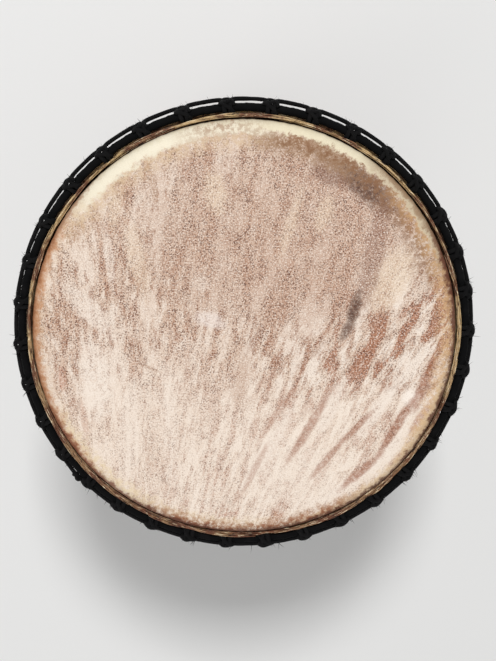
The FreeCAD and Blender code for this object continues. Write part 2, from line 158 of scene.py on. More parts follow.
def merged(tubes):
    """The points, faces and uvs of many tubes, as those of one mesh."""
    points, faces, uvs = zip(*tubes)
    starts = np.cumsum([0] + [len(part) for part in points[:-1]])
    moved = [part + start for part, start in zip(faces, starts)]
    return np.concatenate(points), np.concatenate(moved), np.concatenate(uvs)


def arc(centre, radius, start, end, count):
    """Points on an arc in the radius-height plane, from one angle in degrees to another."""
    angles = np.radians(np.linspace(start, end, count))
    return np.stack([centre[0] + radius * np.cos(angles), centre[1] + radius * np.sin(angles)], -1)


def bulged(start, end, radius, left, count):
    """Points on the shorter arc between two points, with its centre to the left or right of the way."""
    start, end = np.array(start, float), np.array(end, float)
    chord = end - start
    half = np.linalg.norm(chord) / 2
    side = np.array([-chord[1], chord[0]]) / (2 * half) * (1 if left else -1)
    centre = (start + end) / 2 + side * math.sqrt(radius**2 - half**2)
    first, last = (math.degrees(math.atan2(*(p - centre)[::-1])) for p in (start, end))
    sweep = (last - first + 180) % 360 - 180
    return arc(centre, radius, first, first + sweep, count)


def straight(start, end, count):
    """Points on a straight line."""
    return np.linspace(start, end, count)


def outline(*parts):
    """Stretches of points joined end to end, with each shared point kept once."""
    kept = [parts[0]]
    for part in parts[1:]:
        kept.append(part[1:] if np.allclose(part[0], kept[-1][-1], atol=1e-3) else part)
    return np.concatenate(kept)


def outward(profile, closed=False):
    """Unit normals of a profile, to the right of its direction."""
    if closed:
        way = np.roll(profile, -1, 0) - np.roll(profile, 1, 0)
    else:
        way = np.gradient(profile, axis=0)
    normals = np.stack([way[:, 1], -way[:, 0]], -1)
    return normals / np.linalg.norm(normals, axis=1, keepdims=True)


def angles_round(count):
    """Angles, evenly spaced round the drum."""
    return np.arange(count) * TURN / count


def spin(radii, angles, heights):
    """Points from radii and heights at angles round the drum's axis, broadcast together."""
    radii, angles, heights = np.broadcast_arrays(radii, angles, heights)
    return np.stack([radii * np.cos(angles), radii * np.sin(angles), heights], -1)


def waves(angles, counts, seed):
    """Smooth random waves round the drum, about -1 to 1: a sine for each count, at a seeded phase."""
    rng = np.random.default_rng(seed)
    total = np.zeros_like(angles)
    for count in counts:
        total = total + rng.uniform(0.5, 1.0) * np.sin(count * angles + rng.uniform(0, TURN))
    return total / math.sqrt(len(counts))


def smooth_step(low, high, value):
    """0 below low, 1 above high, and smooth between them."""
    share = np.clip((value - low) / (high - low), 0, 1)
    return share * share * (3 - 2 * share)


# ---- material helpers


def linear(colour):
    """A linear colour, with alpha, from red, green and blue display values of 0 to 255."""
    return (*(round(((value / 255 + 0.055) / 1.055) ** 2.4, 4) for value in colour), 1.0)


class Shader:
    """A node material under construction. Its methods add nodes and return their output socket."""

    def __init__(self, name):
        self.material = bpy.data.materials.new(name)
        self.material.use_nodes = True
        self.tree = self.material.node_tree
        self.tree.nodes.clear()
        self.output = self.tree.nodes.new("ShaderNodeOutputMaterial")
        self.place = self.node("ShaderNodeTexCoord").outputs["Object"]

    def node(self, kind, **settings):
        made = self.tree.nodes.new(kind)
        for name, value in settings.items():
            setattr(made, name, value)
        return made

    def feed(self, socket, value):
        """Links a socket, or sets its own value. A colour is three display values of 0 to 255."""
        if isinstance(value, bpy.types.NodeSocket):
            self.tree.links.new(value, socket)
        else:
            socket.default_value = linear(value) if socket.type == "RGBA" else value

    def math(self, operation, a, b=0.0):
        made = self.node("ShaderNodeMath", operation=operation)
        for socket, value in zip(made.inputs, (a, b)):
            self.feed(socket, value)
        return made.outputs[0]

    def times(self, a, b):
        return self.math("MULTIPLY", a, b)

    def plus(self, a, b):
        return self.math("ADD", a, b)

    def minus(self, a, b):
        return self.math("SUBTRACT", a, b)

    def vector(self, operation, a, b=(0.0, 0.0, 0.0)):
        made = self.node("ShaderNodeVectorMath", operation=operation)
        self.feed(made.inputs[0], a)
        self.feed(made.inputs[1], b)
        return made.outputs["Value" if operation in ("LENGTH", "DOT_PRODUCT") else "Vector"]

    def xyz(self, place):
        """The three parts of a vector."""
        made = self.node("ShaderNodeSeparateXYZ")
        self.feed(made.inputs[0], place)
        return [made.outputs[name] for name in "XYZ"]

    def combined(self, **parts):
        """A vector from its named parts, X, Y and Z. A part that isn't named is 0."""
        made = self.node("ShaderNodeCombineXYZ")
        for name, value in parts.items():
            self.feed(made.inputs[name], value)
        return made.outputs[0]

    def noise(self, place, scale, detail=3.0, roughness=0.55, distortion=0.0):
        made = self.node("ShaderNodeTexNoise")
        names = ("Vector", "Scale", "Detail", "Roughness", "Distortion")
        for name, value in zip(names, (place, scale, detail, roughness, distortion)):
            self.feed(made.inputs[name], value)
        return made.outputs["Fac"]

    def cells(self, place, scale):
        made = self.node("ShaderNodeTexVoronoi", feature="F1")
        self.feed(made.inputs["Vector"], place)
        made.inputs["Scale"].default_value = scale
        return made.outputs["Distance"]

    def ramp(self, value, low, high, to_low=0.0, to_high=1.0):
        """Maps value smoothly from low..high to to_low..to_high, clamped."""
        made = self.node("ShaderNodeMapRange", interpolation_type="SMOOTHSTEP")
        names = ("Value", "From Min", "From Max", "To Min", "To Max")
        for name, number in zip(names, (value, low, high, to_low, to_high)):
            self.feed(made.inputs[name], number)
        return made.outputs["Result"]

    def mix(self, share, a, b):
        """Colour a changed towards b by share."""
        colour_a, colour_b, colour_out = 6, 7, 2  # the node's sockets for colours, of several with one name
        made = self.node("ShaderNodeMix", data_type="RGBA", clamp_factor=True)
        self.feed(made.inputs["Factor"], share)
        self.feed(made.inputs[colour_a], a)
        self.feed(made.inputs[colour_b], b)
        return made.outputs[colour_out]

    def patch(self, place, centre, half, turn, ragged, strength):
        """strength inside an ellipse with a ragged edge, and 0 outside it."""
        moved = self.vector("SUBTRACT", place, (*centre, 0.0))
        turned = self.node("ShaderNodeMapping")
        self.feed(turned.inputs["Vector"], moved)
        turned.inputs["Rotation"].default_value = (0.0, 0.0, -math.radians(turn))
        scaled = self.vector("MULTIPLY", turned.outputs[0], (1 / half[0], 1 / half[1], 0.0))
        reach = self.plus(self.vector("LENGTH", scaled), self.times(ragged, 1.6))
        return self.ramp(reach, 2.05, 1.35, 0.0, strength)

    def lessened(self, value, share, most):
        """value, less by up to most of itself where share is 1."""
        return self.times(value, self.minus(1.0, self.times(share, most)))

    def bump(self, height, distance, strength, below=None):
        made = self.node("ShaderNodeBump")
        self.feed(made.inputs["Height"], height)
        made.inputs["Distance"].default_value = distance
        made.inputs["Strength"].default_value = strength
        if below is not None:
            self.feed(made.inputs["Normal"], below)
        return made.outputs["Normal"]

    def finish(self, colour, roughness, normal=None, **constants):
        """Adds the surface shader, and returns the material."""
        surface = self.node("ShaderNodeBsdfPrincipled")
        self.feed(surface.inputs["Base Color"], colour)
        self.feed(surface.inputs["Roughness"], roughness)
        if normal is not None:
            self.feed(surface.inputs["Normal"], normal)
        for name, value in constants.items():
            self.feed(surface.inputs[name.replace("_", " ")], value)
        self.tree.links.new(surface.outputs[0], self.output.inputs["Surface"])
        return self.material


# ---- materials


MOTTLED_INSIDE = 155  # rim bands that begin inside this radius break up into stains, in mm
BRIGHT_FROM, DARK_TO = 600, 330  # sums of a mark's red, green and blue: it hides dots, or it hides pale grain
FAN_X, FAN_Y, FAN_RADIUS = 0.1, 0.41, 0.41  # the hair's fan starts this far left and below, in metres

# Marks on the skin, in millimetres and degrees:
# x, y, half width, half length, turn from upright, colour, strength.
PALE, CREAM, CLAY = (238, 224, 210), (230, 209, 184), (156, 98, 70)
SKIN_MARKS = [
    (20, 80, 118, 80, 0, (190, 156, 134), 0.7),
    (62, 66, 60, 75, -20, (190, 154, 132), 0.3),
    (-45, -100, 125, 78, 0, (238, 222, 206), 0.65),
    (80, -100, 75, 64, 0, (240, 224, 207), 0.6),
    (-27, 11, 13, 7, -15, (236, 223, 214), 0.8),
    (-35, 41, 8, 7, 0, PALE, 0.4),
    (-23, 113, 9, 18, 8, CREAM, 0.7),
    (-118, -37, 14, 34, 6, PALE, 1.0),
    (-92, -80, 9, 50, -4, PALE, 0.5),
    (-60, -78, 7, 60, 3, PALE, 0.45),
    (-122, 20, 10, 30, 42, PALE, 0.8),
    (-106, 62, 4, 26, 6, PALE, 0.7),
    (-100, 100, 5, 20, -10, CREAM, 0.6),
    (36, 88, 5, 30, -18, CREAM, 0.5),
    (62, 96, 7, 16, -20, CREAM, 0.6),
    (-84, 60, 8, 34, 12, CREAM, 0.5),
    (40, -118, 40, 34, -30, PALE, 0.45),
    (116, 44, 16, 30, -28, CREAM, 0.75),
    (118, -96, 6, 38, -42, PALE, 1.0),
    (108, -60, 6, 36, -34, PALE, 0.9),
    (20, -92, 6, 42, -30, PALE, 0.8),
    (69, -60, 7, 26, -24, PALE, 0.8),
    (132, -52, 7, 7, -30, (248, 236, 224), 1.0),
    (80, -128, 5, 30, -56, PALE, 0.9),
    (95, 116, 11, 30, 50, (74, 52, 46), 1.0),
    (66, 126, 9, 18, 60, (130, 96, 82), 0.7),
    (64, 141, 7, 27, 58, (132, 98, 74), 0.85),
    (30, 150, 7, 30, 84, (160, 122, 98), 0.6),
    (-42, 132, 9, 15, 0, (180, 142, 120), 0.55),
    (-70, 117, 3, 15, 8, (176, 142, 116), 0.6),
    (101, 64, 9, 50, -10, (156, 120, 102), 0.75),
    (86, 18, 5, 17, -14, (92, 66, 54), 1.0),
    (80, 2, 4, 9, -30, (104, 76, 62), 0.9),
    (122, -76, 4, 30, -30, CLAY, 0.85),
    (144, -40, 5, 27, -20, CLAY, 0.8),
    (94, -114, 4, 24, -48, CLAY, 0.8),
    (128, -100, 3, 15, -50, (160, 104, 82), 0.85),
    (140, -70, 3, 17, -32, (160, 104, 82), 0.7),
    (51, -78, 4, 36, -30, CLAY, 0.7),
    (89, -78, 3, 22, -42, CLAY, 0.7),
    (66, -104, 3, 24, -38, CLAY, 0.65),
    (28, -62, 3, 26, -32, CLAY, 0.5),
    (8, -112, 3, 26, -26, CLAY, 0.5),
    (-3, -41, 6, 24, -12, (182, 146, 122), 0.6),
    (9, -3, 3, 16, -32, (166, 130, 110), 0.6),
    (52, -18, 3, 17, -48, (172, 136, 114), 0.6),
    (-84, -11, 3, 15, 10, (176, 140, 116), 0.55),
    (-76, -27, 1.6, 11, 66, (166, 130, 106), 0.65),
    (-145, -36, 3, 11, 4, (196, 146, 122), 0.65),
    (-128, -70, 3, 18, 8, (200, 160, 138), 0.5),
    (-46, -20, 3, 12, 2, (182, 146, 124), 0.4),
    (-12, -150, 8, 1.6, 8, (186, 138, 118), 0.5),
    (124, 110, 1.7, 3.0, 20, (38, 28, 24), 0.95),
    (153, 56, 1.3, 1.5, 0, (52, 40, 30), 0.95),
    (139, 78, 1.0, 4.0, -30, (96, 66, 50), 0.8),
]


# Bands of colour round the rim, in degrees clockwise from +Y and millimetres from the axis:
# middle angle, half angle, radius where it starts and where it is full, colour, strength.
RIM_BANDS = [
    (0, 180, 150.5, 166, (216, 190, 158), 0.45),
    (-12, 44, 140, 156, (210, 182, 148), 0.75),
    (40, 32, 137, 156, (136, 98, 70), 1.0),
    (85, 36, 148, 162, (206, 166, 122), 0.8),
    (135, 30, 157, 163, (222, 192, 152), 0.7),
    (-150, 34, 150, 161, (230, 210, 174), 0.7),
    (-96, 34, 159, 165, (190, 134, 92), 0.85),
    (178, 26, 154, 162, (150, 96, 68), 0.95),
    (-22, 27, 155, 160.5, (236, 228, 206), 0.92),
    (2, 15, 153, 163, (156, 118, 90), 0.7),
    (35, 30, 159.5, 163, (230, 220, 192), 0.92),
    # painted highlight: a cream band along the top of the rim, where the skin turns over the edge towards the
    # light
    (-8, 50, 165.8, 168, (226, 216, 190), 0.8),
    (62, 22, 159, 167, (142, 104, 72), 0.8),
    (-90, 42, 164, 167.5, (156, 98, 62), 0.7),
    (-145, 30, 161, 166, (126, 70, 48), 0.85),
    (115, 50, 162.5, 166.5, (100, 54, 40), 0.85),
    (180, 30, 162, 166, (104, 62, 44), 0.8),
]


def goat_skin():
    """Scraped goat skin: pale and pinkish, mottled brown along the hair's direction, dotted with pores."""
    s = Shader("goat_skin")
    flat = s.vector("MULTIPLY", s.place, (1.0, 1.0, 0.0))
    x, y, z = s.xyz(s.place)
    radius = s.vector("LENGTH", flat)
    ragged = s.noise(flat, 150.0, 6.0, 0.72)
    mottle = s.ramp(s.noise(flat, 300.0, 4.0, 0.75), 0.36, 0.58, 0.5, 1.0)
    stain = s.ramp(s.noise(flat, 210.0, 5.0, 0.8), 0.42, 0.56, 0.15, 1.0)

    # the hair lay in a fan, so the stripes' noise is stretched along the way out from the fan's start
    bearing = s.math("ARCTAN2", s.plus(x, FAN_X), s.plus(y, FAN_Y))
    reach = s.vector("LENGTH", s.vector("ADD", flat, (FAN_X, FAN_Y, 0.0)))
    flow = s.combined(X=s.times(bearing, FAN_RADIUS), Y=s.times(reach, 0.24))
    broad = s.noise(flow, 62.0, 3.0, 0.6, 0.4)
    narrow = s.noise(flow, 190.0, 3.0, 0.6, 0.3)
    stripes = s.plus(s.times(broad, 0.6), s.times(narrow, 0.4))
    calm = s.noise(flat, 16.0, 2.0, 0.5)
    right_side = s.ramp(s.minus(x, y), 0.0, 0.12)
    colour = s.mix(s.ramp(calm, 0.35, 0.65), (224, 203, 185), (213, 188, 168))
    colour = s.mix(s.ramp(stripes, 0.47, 0.62, 0.0, 0.7), colour, (184, 141, 113))
    crisp = s.times(s.ramp(stripes, 0.51, 0.545, 0.0, 0.8), right_side)
    colour = s.mix(crisp, colour, (168, 108, 76))
    pale = s.times(s.ramp(stripes, 0.48, 0.42), s.ramp(right_side, 0.0, 1.0, 0.4, 0.9))
    colour = s.mix(pale, colour, (239, 225, 211))
    brown_strokes = s.times(s.ramp(narrow, 0.54, 0.6, 0.0, 0.65), stain)
    colour = s.mix(brown_strokes, colour, (158, 112, 88))
    colour = s.mix(s.ramp(narrow, 0.42, 0.37, 0.0, 0.5), colour, (236, 220, 205))

    dotting = s.ramp(stripes, 0.38, 0.56, 0.25, 1.0)
    lit = 1.0
    for mark_x, mark_y, half_x, half_y, turn, shade, strength in SKIN_MARKS:
        share = s.patch(flat, (mark_x * MM, mark_y * MM), (half_x * MM, half_y * MM), turn, ragged, strength)
        share = s.times(share, mottle)
        colour = s.mix(share, colour, shade)
        if sum(shade) > BRIGHT_FROM:
            dotting = s.lessened(dotting, share, 0.8)
        if sum(shade) < DARK_TO:
            lit = s.lessened(lit, share, 0.85)

    # pores and hair roots, in clusters
    pores = s.cells(s.vector("MULTIPLY", s.place, (1.0, 0.8, 1.0)), 760.0)
    grain = s.noise(s.place, 850.0, 1.5, 0.7)
    clusters = s.ramp(s.noise(flat, 95.0, 3.0, 0.6), 0.35, 0.62, 0.55, 1.0)
    dots = s.times(s.ramp(pores, 0.55, 0.25), s.ramp(grain, 0.34, 0.5))
    dots = s.times(dots, s.times(clusters, dotting))
    colour = s.mix(s.times(dots, 0.95), colour, (82, 48, 38))
    speck = s.times(s.ramp(grain, 0.5, 0.68, 0.0, 0.7), dotting)
    colour = s.mix(speck, colour, (136, 94, 74))
    glint = s.times(s.ramp(grain, 0.5, 0.3, 0.0, 0.75), lit)
    colour = s.mix(glint, colour, (245, 232, 220))

    colour = rim_colours(s, colour, flat, radius, ragged, stain)
    edge_colour, edge_height = hide_edge_look(s)
    past_side = s.ramp(radius, 168.4 * MM, 168.7 * MM)
    # painted shade: the skin's side turns darker brown in the narrow gap between it and the collar
    gap_painted_shade = s.times(s.ramp(z, 592.5 * MM, 588.0 * MM), s.ramp(radius, 166.0 * MM, 167.2 * MM))
    colour = s.mix(gap_painted_shade, colour, (92, 62, 44))
    colour = s.mix(past_side, colour, edge_colour)
    height = s.minus(s.times(stripes, 0.8), s.times(dots, 0.35))
    height = s.plus(height, s.times(grain, 0.25))
    normal = s.bump(height, 0.0006, 0.35)
    normal = s.bump(s.times(edge_height, past_side), 0.0006, 0.9, normal)
    return s.finish(colour, s.ramp(stripes, 0.4, 0.65, 0.66, 0.5), normal, Specular_IOR_Level=0.25)


def rim_colours(s, colour, flat, radius, ragged, stain):
    """Cream, ochre and brown bands where the skin bends over the rim, and a painted highlight along its top.
    """
    unit = s.vector("NORMALIZE", flat)
    worn = s.plus(radius, s.times(s.minus(ragged, 0.5), 0.02))
    for middle, half, start, full, shade, strength in RIM_BANDS:
        way = (math.sin(math.radians(middle)), math.cos(math.radians(middle)), 0.0)
        near = s.vector("DOT_PRODUCT", unit, way)
        if half < 180:
            share = s.ramp(near, math.cos(math.radians(half + 9)), math.cos(math.radians(half - 5)))
        else:
            share = 1.0
        share = s.times(share, s.ramp(worn, start * MM, full * MM, 0.0, strength))
        if start < MOTTLED_INSIDE:
            share = s.times(share, stain)
        colour = s.mix(share, colour, shade)
    return colour


def hide_edge_look(s):
    """Colour and height of the hide's trimmed edge: ochre, cream and brown fibres that run round the drum,
    with painted shade on its −Y side.
    """
    x, y, z = s.xyz(s.place)
    radius = s.vector("LENGTH", s.vector("MULTIPLY", s.place, (1.0, 1.0, 0.0)))
    bearing = s.times(s.math("ARCTAN2", y, x), 0.022)
    fibre = s.noise(s.combined(X=bearing, Y=radius, Z=z), 900.0, 4.0, 0.7, 0.3)
    blotch = s.noise(s.place, 48.0, 3.0, 0.6)
    colour = s.mix(s.ramp(blotch, 0.42, 0.58), (196, 166, 120), (122, 82, 58))
    # painted shade: the trimmed edge turns darker and redder towards −Y, the side away from the key light
    colour = s.mix(s.ramp(y, 0.03, -0.12, 0.0, 0.65), colour, (112, 66, 46))
    colour = s.mix(s.ramp(fibre, 0.55, 0.64), colour, (230, 212, 178))
    colour = s.mix(s.ramp(fibre, 0.47, 0.39), colour, (44, 26, 20))
    return colour, fibre


def hide_edge():
    """The same trimmed edge, as a material of its own for loose fibres."""
    s = Shader("hide_edge")
    colour, fibre = hide_edge_look(s)
    return s.finish(colour, 0.72, s.bump(fibre, 0.0006, 0.8))


def black_rope():
    """Black braided rope with a faint sheen, dusty strands and painted shade in the braid's grooves."""
    s = Shader("black_rope")
    across, along, _ = s.xyz(s.node("ShaderNodeTexCoord").outputs["UV"])
    left = s.math("SINE", s.times(s.plus(across, along), TURN * 4))
    right = s.math("SINE", s.times(s.minus(across, along), TURN * 4))
    braid = s.math("ABSOLUTE", s.times(left, right))
    fuzz = s.noise(s.place, 900.0, 3.0, 0.7)
    dust = s.ramp(s.noise(s.place, 70.0, 4.0, 0.7), 0.45, 0.7)
    # painted shade: the grooves between the braid's strands are darker than its crests
    colour = s.mix(s.ramp(braid, 0.0, 0.35), (2, 2, 3), (13, 12, 13))
    colour = s.mix(s.times(dust, 0.5), colour, (27, 25, 26))
    height = s.plus(braid, s.times(fuzz, 0.5))
    return s.finish(colour, 0.8, s.bump(height, 0.0005, 0.9), Specular_IOR_Level=0.2)


def black_cloth():
    """Thin black cotton strip: a fine weave, worn greyer on its overlaps."""
    s = Shader("black_cloth")
    fuzz = s.noise(s.place, 700.0, 4.0, 0.7)
    worn = s.ramp(s.noise(s.place, 80.0, 3.0, 0.6), 0.45, 0.75)
    colour = s.mix(s.times(worn, 0.6), (3, 3, 4), (18, 17, 18))
    return s.finish(colour, 0.9, s.bump(fuzz, 0.0004, 0.7), Specular_IOR_Level=0.15)


def carved_wood():
    """Oiled red-brown hardwood: grain along the drum's axis, open pores, and painted shade in the carved
    hollows.
    """
    s = Shader("carved_wood")
    bent = s.noise(s.place, 7.0, 2.0, 0.5)
    drift = s.combined(X=s.times(bent, 0.03), Y=s.times(bent, 0.02))
    place = s.vector("ADD", s.place, drift)
    rings = s.noise(s.vector("MULTIPLY", place, (1.0, 1.0, 0.07)), 60.0, 6.0, 0.62, 0.5)
    streaks = s.noise(s.vector("MULTIPLY", place, (1.0, 1.0, 0.03)), 240.0, 4.0, 0.65)
    pores = s.noise(s.vector("MULTIPLY", place, (1.0, 1.0, 0.045)), 760.0, 2.0, 0.6)
    blotch = s.noise(s.place, 9.0, 3.0, 0.55)
    carved = s.node("ShaderNodeAttribute", attribute_name="carved").outputs["Fac"]
    colour = s.mix(s.ramp(rings, 0.32, 0.66), (82, 44, 26), (146, 90, 54))
    colour = s.mix(s.ramp(streaks, 0.46, 0.64, 0.0, 0.65), colour, (70, 36, 22))
    colour = s.mix(s.ramp(streaks, 0.42, 0.3, 0.0, 0.4), colour, (172, 112, 68))
    colour = s.mix(s.ramp(pores, 0.6, 0.72, 0.0, 0.8), colour, (34, 18, 12))
    colour = s.mix(s.ramp(blotch, 0.42, 0.68, 0.0, 0.45), colour, (60, 31, 20))
    # painted shade: the carved lines, diamonds and nicks are darker in their hollows
    colour = s.mix(s.times(carved, 0.75), colour, (30, 15, 10))
    relief = s.plus(s.times(streaks, 0.5), s.times(rings, 0.6))
    relief = s.minus(relief, s.ramp(pores, 0.58, 0.7, 0.0, 0.5))
    return s.finish(colour, s.ramp(streaks, 0.3, 0.7, 0.36, 0.56), s.bump(relief, 0.0006, 0.6))


def steel_rod():
    """Plain mild steel rod, dull and faintly rusted."""
    s = Shader("steel_rod")
    rust = s.ramp(s.noise(s.place, 60.0, 4.0, 0.65), 0.5, 0.7)
    colour = s.mix(rust, (120, 118, 116), (104, 66, 44))
    fine = s.noise(s.place, 500.0, 3.0, 0.6)
    return s.finish(colour, s.ramp(fine, 0.3, 0.7, 0.35, 0.55), s.bump(fine, 0.0002, 0.4), Metallic=0.85)


# ---- shell


def shell_profile():
    """The shell's closed outline, from the foot's outer corner up the outside and back down the inside."""
    crest_start, crest_end = SHELL_RADIUS - EDGE_ROUND, SHELL_RADIUS - EDGE_ROUND - EDGE_CREST
    foot = straight((FOOT_RADIUS, 0.0), (FOOT_RADIUS, FOOT_BAND), 5)
    stem = bulged((FOOT_RADIUS, FOOT_BAND), (NECK_RADIUS, BEAD_BOTTOM), STEM_ARC, False, 190)
    carved = np.abs(stem[:, 1] - BAND_HEIGHT) < 24  # away from the carving, every second row is enough
    stem = stem[carved | (np.arange(len(stem)) % 2 == 0)]
    bead = bulged((NECK_RADIUS, BEAD_BOTTOM), (NECK_RADIUS, BEAD_TOP), BEAD_ARC, True, 12)
    neck = straight((NECK_RADIUS, BEAD_TOP), (NECK_RADIUS, NECK_HEIGHT), 6)
    cove = bulged((NECK_RADIUS, NECK_HEIGHT), (THROAT_RADIUS, THROAT_HEIGHT), THROAT_COVE, False, 7)
    bowl = bulged((THROAT_RADIUS, THROAT_HEIGHT), (BELLY_RADIUS, BELLY_HEIGHT), BOWL_ARC, True, 34)
    belly = bulged((BELLY_RADIUS, BELLY_HEIGHT), (SHELL_RADIUS, SHOULDER_HEIGHT), BELLY_ARC, True, 28)
    side = straight((SHELL_RADIUS, SHOULDER_HEIGHT), (SHELL_RADIUS, WOOD_TOP - EDGE_ROUND), 6)
    rim = arc((crest_start, WOOD_TOP - EDGE_ROUND), EDGE_ROUND, 0, 90, 6)
    crest = straight((crest_start, WOOD_TOP), (crest_end, WOOD_TOP), 2)
    mouth = straight((crest_end, WOOD_TOP), (MOUTH_RADIUS, MOUTH_HEIGHT), 5)
    inner_shoulder = (MOUTH_RADIUS, SHOULDER_HEIGHT)
    inner_belly = (INNER_BELLY_RADIUS, INNER_BELLY_HEIGHT)
    inner_bowl = (INNER_BOWL_RADIUS, INNER_BOWL_HEIGHT)
    bore = (BORE_RADIUS, BORE_HEIGHT)
    inside = outline(
        straight((MOUTH_RADIUS, MOUTH_HEIGHT), inner_shoulder, 4),
        bulged(inner_shoulder, inner_belly, INNER_BELLY_ARC, False, 14),
        bulged(inner_belly, inner_bowl, INNER_BOWL_ARC, False, 18),
        straight(inner_bowl, bore, 6),
        bulged(bore, (FOOT_BORE, 0.0), INNER_STEM_ARC, True, 26),
    )
    bottom = straight((FOOT_BORE, 0.0), (FOOT_RADIUS, 0.0), 6)
    return outline(foot, stem, bead, neck, cove, bowl, belly, side, rim, crest, mouth, inside, bottom)[:-1]


def scallops(around_mm, along_mm, cell, seed):
    """Depth of overlapping tool marks, 0 at a mark's middle and about 1 where marks meet."""
    size = np.array(cell, float)
    grid_u, grid_v = np.floor(around_mm / size[0]), np.floor(along_mm / size[1])
    count = int(grid_u.max()) + 1
    jitter = np.random.default_rng(seed).uniform(0.1, 0.9, (count, int(grid_v.max()) + 3, 2))
    nearest = np.full(around_mm.shape, 9.0)
    for step_u in (-1, 0, 1):
        for step_v in (-1, 0, 1):
            u, v = grid_u + step_u, grid_v + step_v
            spot = jitter[(u % count).astype(int), v.astype(int)]
            across = around_mm / size[0] - u - spot[..., 0]
            along = along_mm / size[1] - v - spot[..., 1]
            nearest = np.minimum(nearest, across**2 + along**2)
    return np.minimum(nearest, 1.2)


def from_middle(angles, count):
    """How far each angle is from the middle of its cell, of count cells round the drum: from 0 to 0.5."""
    return np.abs(((angles * count / TURN) % 1.0) - 0.5)


def diamonds(angles, height, count, half_height):
    """A row of chip-carved diamonds round the stem: 1 in the flat middle of each, 0 outside it."""
    inside = 1 - from_middle(angles, count) / 0.46 - np.abs(height - BAND_HEIGHT) / half_height
    return np.clip(inside * 3.0, 0, 1)


def make_shell():
    """The goblet, turned from its outline, with tool marks, two V lines, diamonds and nicks."""
    profile = shell_profile()
    columns = 336
    angles = angles_round(columns)
    normals = outward(profile, closed=True)
    radius, height = profile[:, :1], profile[:, 1:]
    way = np.linalg.norm(np.diff(profile, axis=0, append=profile[:1]), axis=1).cumsum()[:, None]
    outside = (normals[:, :1] > 0.1) & (radius > 70)
    inner = (normals[:, :1] < -0.1) & (height > 3) & (height < 590)

    around_mm = np.broadcast_to(angles * 100.0, (len(profile), columns))
    along_mm = np.broadcast_to(way, around_mm.shape)
    fine = scallops(around_mm, along_mm, (11.0, 24.0), 3)
    rough = scallops(around_mm, along_mm, (17.0, 26.0), 4)
    quiet = 1 - smooth_step(4, 16, np.abs(height - BAND_HEIGHT) - BAND_HALF_WIDTH)
    quiet = np.maximum(quiet, smooth_step(560, 575, height))
    depth = outside * (1 - quiet) * 0.55 * (1.2 - fine) + inner * (1.2 - rough)
    lines = 0.0
    for line_height in (BAND_HEIGHT - BAND_HALF_WIDTH, BAND_HEIGHT + BAND_HALF_WIDTH):
        off = np.abs(height - line_height)
        lines = lines + outside * np.clip(LINE_DEPTH - off * 0.8, 0, None)
    chips = outside * diamonds(angles, height, 28, 13.5)
    off_bead = np.abs(height - (BEAD_BOTTOM + BEAD_TOP) / 2)
    nicks = outside * np.clip(1.6 - off_bead / 5.0 - from_middle(angles, 48) * 6.0, 0, 1)
    depth = depth + lines + 2.6 * chips + 1.8 * nicks
    carved = np.clip(lines / LINE_DEPTH + chips + nicks, 0, 1)
    points = spin(radius - normals[:, :1] * depth, angles, height - normals[:, 1:] * depth)
    faces, _ = grid_faces(len(profile), columns, wrap_rows=True)
    piece = add_piece("shell_carved", points, faces, carved_wood(), carved=carved)
    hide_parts("shell")


# ---- skin


def head_profile():
    """The skin's middle surface, out over the mouth, round the flesh ring and up to the lip."""
    side = SHELL_RADIUS + SKIN_THICKNESS / 2
    top = WOOD_TOP + SKIN_THICKNESS / 2
    crest = SHELL_RADIUS - EDGE_ROUND
    fold = FLESH_RADIUS - side
    collar, collar_rows = side + 1.6, 16
    parts = [
        straight((0.0, top), (crest, top), 36),
        arc((crest, WOOD_TOP - EDGE_ROUND), EDGE_ROUND + SKIN_THICKNESS / 2, 90, 0, 10),
        straight((side, WOOD_TOP - EDGE_ROUND), (side, FLESH_HEIGHT), 8),
        arc((FLESH_RADIUS, FLESH_HEIGHT), fold, 180, 430, 20),
        arc((collar + 1.4, FLESH_HEIGHT + fold + 1.4), 1.4, 250, 180, 4),
        straight((collar, FLESH_HEIGHT + fold + 1.6), (collar + 2.3, 592.4), collar_rows),
    ]
    rows = outline(*parts)
    return rows, len(rows) - collar_rows


def make_head():
    """The goat skin, 1 mm thick, puckered where it turns over the rim, and wavy along its trimmed collar."""
    middle, collar_start = head_profile()
    columns = 512
    angles = angles_round(columns)
    normals = -outward(middle)
    normals[0] = (0.0, 1.0)
    count = len(middle)
    index = np.arange(count)[:, None]
    up_collar = np.clip((index - collar_start) / (count - 1 - collar_start), 0, 1)
    over_rim = smooth_step(150, 166, middle[:, :1]) * (1 - up_collar)

    pucker = waves(angles, (97, 131, 163, 58), 5) * 0.16 * over_rim
    sway = (waves(angles, (7, 11, 17, 29), 6) * 0.55 + waves(angles, (61, 83), 7) * 0.22) * up_collar
    lift = (waves(angles, (5, 13, 23, 37), 8) * 1.2 + waves(angles, (71, 89, 113), 9) * 0.5) * up_collar
    thick = SKIN_THICKNESS / 2
    layers = []
    for side in (1, -1):
        off = side * thick + pucker
        radius = middle[:, :1] + normals[:, :1] * off + sway
        height = middle[:, 1:] + normals[:, 1:] * off + lift
        radius[0] = 0.0
        layers.append(spin(radius, angles, height))
    points = np.concatenate([layers[0], layers[1][::-1]])
    faces, _ = grid_faces(2 * count, columns)
    piece = add_piece("drum_head", points, faces, goat_skin())
    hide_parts("drum_skin")


